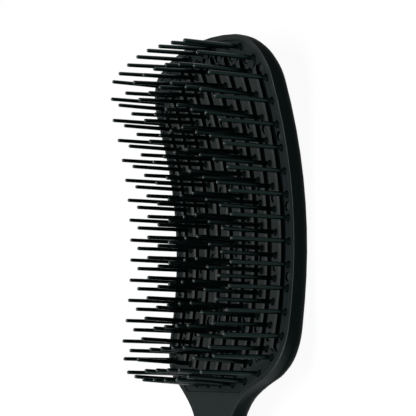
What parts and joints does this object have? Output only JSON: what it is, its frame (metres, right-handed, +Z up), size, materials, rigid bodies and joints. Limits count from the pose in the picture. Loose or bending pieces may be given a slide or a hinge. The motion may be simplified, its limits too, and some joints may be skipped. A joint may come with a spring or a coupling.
{
  "type": "detangling brush",
  "caption": "Curved, vented detangling brush: bowed slotted face plate in a rimmed frame, arched rows of long moulded pins, vented back, slim neck and hanging handle.",
  "frame": {"origin": "on the table, under the middle of the brush's box, with the brush lying on its back", "axes": "+X along the brush to the tip of the head, +Y across it, +Z up, out of the pin face"},
  "size_m": [0.245, 0.0782, 0.038],
  "materials": {
    "frame_plastic": "satin black, fine matt grain on the handle",
    "face_plastic": "satin black",
    "back_plastic": "matt black",
    "pin_plastic": "half-gloss black"
  },
  "bodies": {
    "root": {"frame_handle": "frame_plastic", "face_plate": "face_plastic", "back_grille": "back_plastic", "handle_back": "back_plastic", "pin_strip_1": "pin_plastic", "pin_strip_2": "pin_plastic", "pin_strip_3": "pin_plastic", "pin_strip_4": "pin_plastic", "pin_strip_5": "pin_plastic", "pin_strip_6": "pin_plastic", "pin_strip_7": "pin_plastic", "pin_strip_8": "pin_plastic", "pin_strip_9": "pin_plastic", "pin_strip_10": "pin_plastic"}
  },
  "joints": []
}
